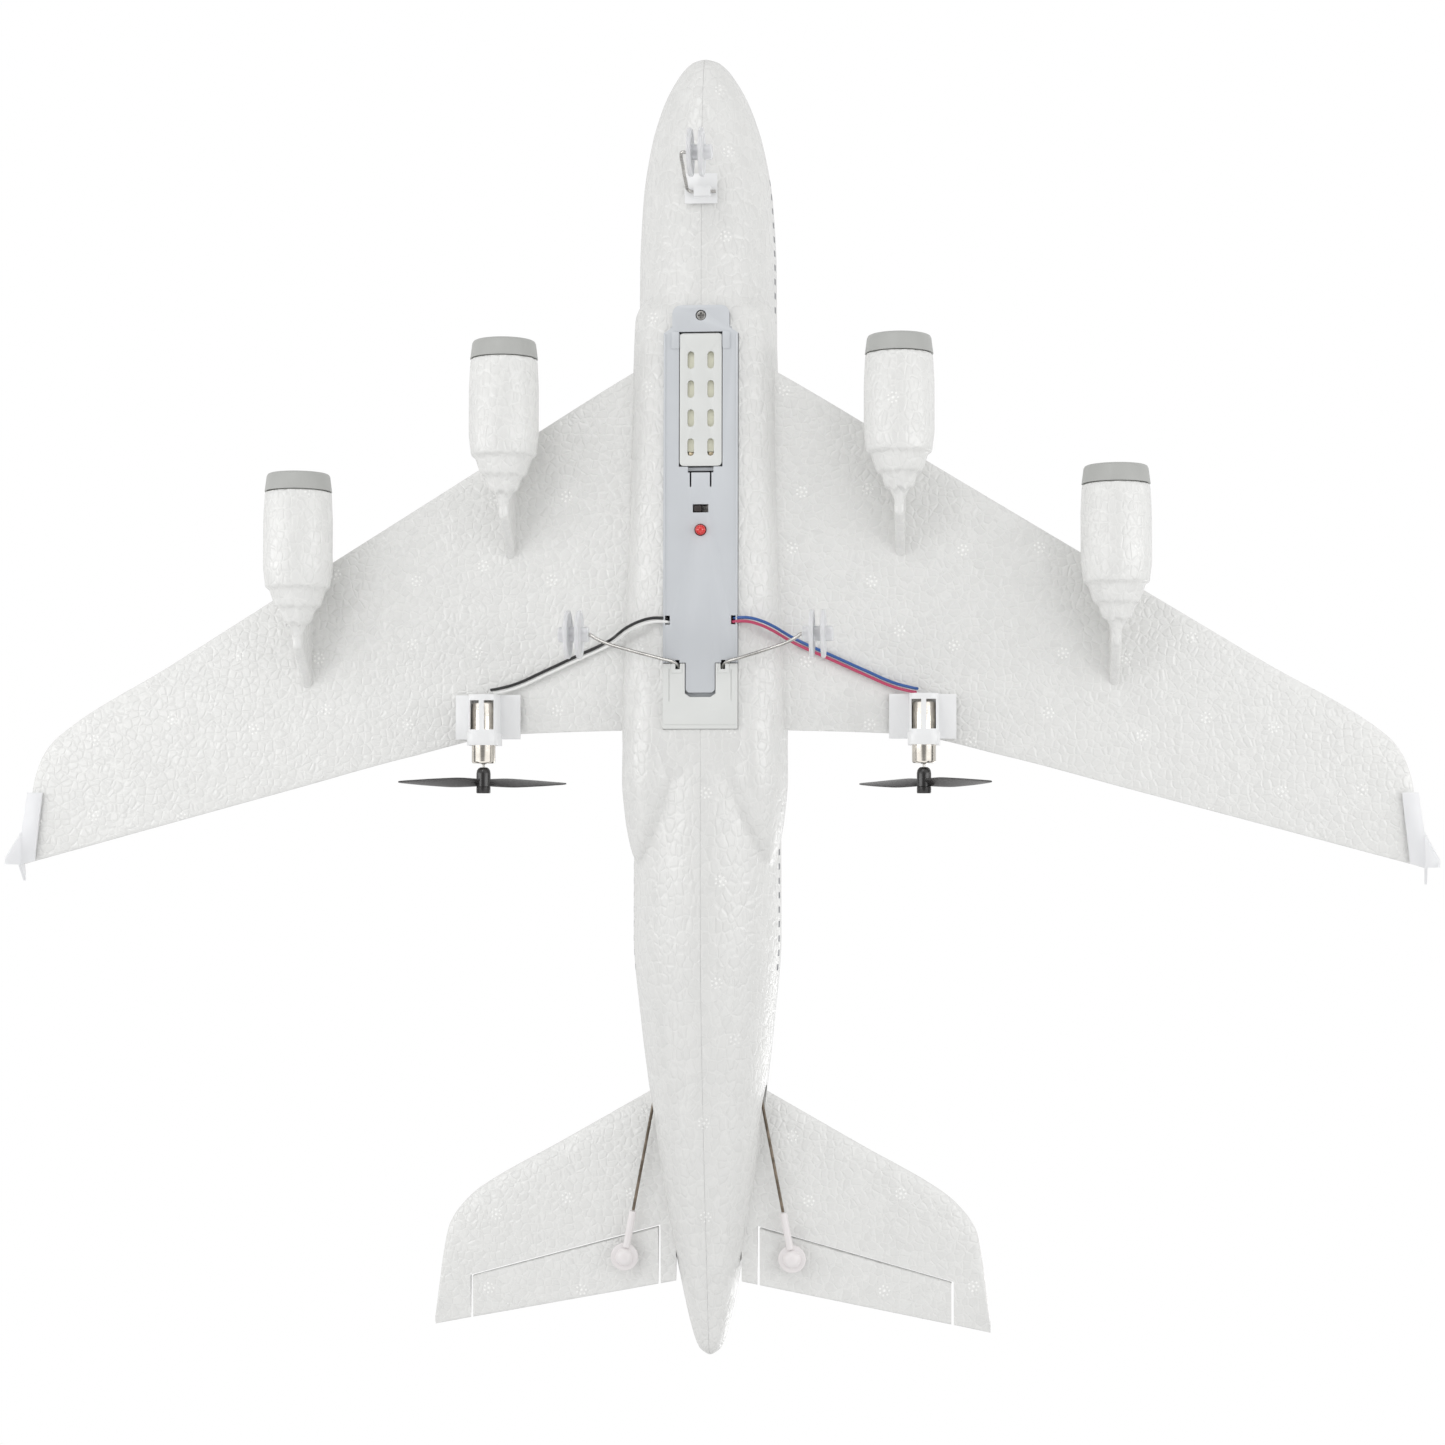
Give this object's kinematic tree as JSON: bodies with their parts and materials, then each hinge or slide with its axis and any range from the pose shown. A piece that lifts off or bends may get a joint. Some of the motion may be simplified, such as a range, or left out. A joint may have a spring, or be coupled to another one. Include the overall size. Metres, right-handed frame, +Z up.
{
  "type": "rc glider",
  "caption": "Moulded-foam model airliner with pusher propellers behind the wings, dummy nacelles, wire landing gear, a plastic belly tray with a battery door and a linked elevator.",
  "frame": {"origin": "on the ground under the middle of the whole model, midway between the wing tips and midway between nose and tail", "axes": "+X towards the left wing tip, +Y towards the tail, +Z up"},
  "size_m": [0.5224, 0.4729, 0.158],
  "materials": {
    "foam_white": "expanded bead foam, white, soft sheen with faint bead cells",
    "tray_plastic": "cool white moulded plastic, satin",
    "ring_grey": "light grey film, satin",
    "frosted_plastic": "frosted clear plastic",
    "bare_steel": "drawn steel wire and pressings",
    "motor_can": "rolled steel can, bright",
    "propeller_black": "smoked black plastic",
    "dark_plastic": "dark moulded plastic",
    "led_red": "tinted clear epoxy",
    "battery_wrap": "cell pouch in cream film",
    "board_green": "solder mask",
    "servo_blue": "translucent blue case",
    "servo_arm_white": "white nylon",
    "lead_blue": "insulated wire, satin",
    "lead_red": "insulated wire, satin",
    "lead_black": "insulated wire, satin",
    "lead_white": "insulated wire, satin"
  },
  "bodies": {
    "airframe": {"fuselage_left": "foam_white", "fuselage_right": "foam_white", "nose_ballast": "bare_steel", "wing_left": "foam_white", "wing_right": "foam_white", "tailplane_left": "foam_white", "tailplane_right": "foam_white", "fin": "foam_white", "nacelle_inner_left": "foam_white", "nacelle_inner_right": "foam_white", "nacelle_outer_left": "foam_white", "nacelle_outer_right": "foam_white", "intake_ring_inner_left": "ring_grey", "intake_ring_inner_right": "ring_grey", "intake_ring_outer_left": "ring_grey", "intake_ring_outer_right": "ring_grey", "tip_fence_left": "frosted_plastic", "tip_fence_right": "frosted_plastic", "motor_mount_left": "tray_plastic", "motor_mount_right": "tray_plastic", "motor_left": "motor_can", "motor_right": "motor_can", "chassis_tray": "tray_plastic", "gear_clamp": "tray_plastic", "battery": "battery_wrap", "battery_contact_left": "bare_steel", "battery_contact_right": "bare_steel", "receiver_board": "board_green", "status_led": "led_red", "switch_housing": "bare_steel", "tray_screw": "bare_steel", "main_gear_wire": "bare_steel", "nose_gear_bracket": "tray_plastic", "nose_gear_wire": "bare_steel", "servo": "servo_blue", "lead_blue": "lead_blue", "lead_red": "lead_red", "lead_black": "lead_black", "lead_white": "lead_white"},
    "propeller_left": {"propeller_left": "propeller_black", "motor_shaft_left": "bare_steel"},
    "propeller_right": {"propeller_right": "propeller_black", "motor_shaft_right": "bare_steel"},
    "nose_wheels": {"nose_wheels": "frosted_plastic"},
    "main_wheels_left": {"main_wheels_left": "frosted_plastic"},
    "main_wheels_right": {"main_wheels_right": "frosted_plastic"},
    "elevator_left": {"elevator_left": "foam_white", "elevator_horn_left": "tray_plastic"},
    "elevator_right": {"elevator_right": "foam_white", "elevator_horn_right": "tray_plastic"},
    "pushrod_left": {"pushrod_left": "bare_steel", "ball_link_left": "tray_plastic"},
    "pushrod_right": {"pushrod_right": "bare_steel", "ball_link_right": "tray_plastic"},
    "servo_arm": {"servo_arm": "servo_arm_white"},
    "battery_door": {"battery_door": "tray_plastic"},
    "switch_slider": {"switch_slider": "dark_plastic"}
  },
  "joints": [
    {"name": "propeller_left_spin", "type": "hinge", "parent": "airframe", "child": "propeller_left", "pos_m": [0.079, 0.0272, 0.03529], "axis": [0, 1, 0], "continuous": true},
    {"name": "propeller_right_spin", "type": "hinge", "parent": "airframe", "child": "propeller_right", "pos_m": [-0.079, 0.0272, 0.03529], "axis": [0, 1, 0], "continuous": true},
    {"name": "nose_wheels_spin", "type": "hinge", "parent": "airframe", "child": "nose_wheels", "pos_m": [0, -0.1934, 0.0085], "axis": [1, 0, 0], "continuous": true},
    {"name": "main_wheels_left_spin", "type": "hinge", "parent": "airframe", "child": "main_wheels_left", "pos_m": [0.0427, -0.024, 0.0085], "axis": [1, 0, 0], "continuous": true},
    {"name": "main_wheels_right_spin", "type": "hinge", "parent": "airframe", "child": "main_wheels_right", "pos_m": [-0.0427, -0.024, 0.0085], "axis": [1, 0, 0], "continuous": true},
    {"name": "elevator_left_hinge", "type": "hinge", "parent": "airframe", "child": "elevator_left", "pos_m": [0.0186, 0.1888, 0.06531], "axis": [0.9587, 0.2717, 0.0839], "range_deg": [-18, 18]},
    {"name": "elevator_right_hinge", "type": "hinge", "parent": "airframe", "child": "elevator_right", "pos_m": [-0.0186, 0.1888, 0.06531], "axis": [0.9587, -0.2717, -0.0839], "range_deg": [-18, 18]},
    {"name": "pushrod_left_ball", "type": "hinge", "parent": "elevator_left", "child": "pushrod_left", "pos_m": [0.0306, 0.1995, 0.0606], "axis": [0.954, 0.2925, 0.066], "range_deg": [-17.5, 17.5]},
    {"name": "pushrod_right_ball", "type": "hinge", "parent": "elevator_right", "child": "pushrod_right", "pos_m": [-0.0306, 0.1995, 0.0606], "axis": [0.954, -0.2925, -0.066], "range_deg": [-17.5, 17.5]},
    {"name": "servo_arm_turn", "type": "hinge", "parent": "airframe", "child": "servo_arm", "pos_m": [0, 0.048, 0.047], "axis": [-1, 0, 0], "range_deg": [-10.6, 10.6]},
    {"name": "battery_door_hinge", "type": "hinge", "parent": "airframe", "child": "battery_door", "pos_m": [0, -0.1316, 0.0284], "axis": [-1, 0, 0], "range_deg": [0, 100]},
    {"name": "switch_slide", "type": "slide", "parent": "airframe", "child": "switch_slider", "axis": [1, 0, 0], "range_m": [0, 0.0022]}
  ],
  "couplings": [
    {"joint": "elevator_right_hinge", "follows": "elevator_left_hinge", "ratio": 1},
    {"joint": "pushrod_left_ball", "follows": "elevator_left_hinge", "ratio": -0.9594},
    {"joint": "pushrod_right_ball", "follows": "elevator_left_hinge", "ratio": -0.9594},
    {"joint": "servo_arm_turn", "follows": "elevator_left_hinge", "ratio": 0.5808}
  ]
}
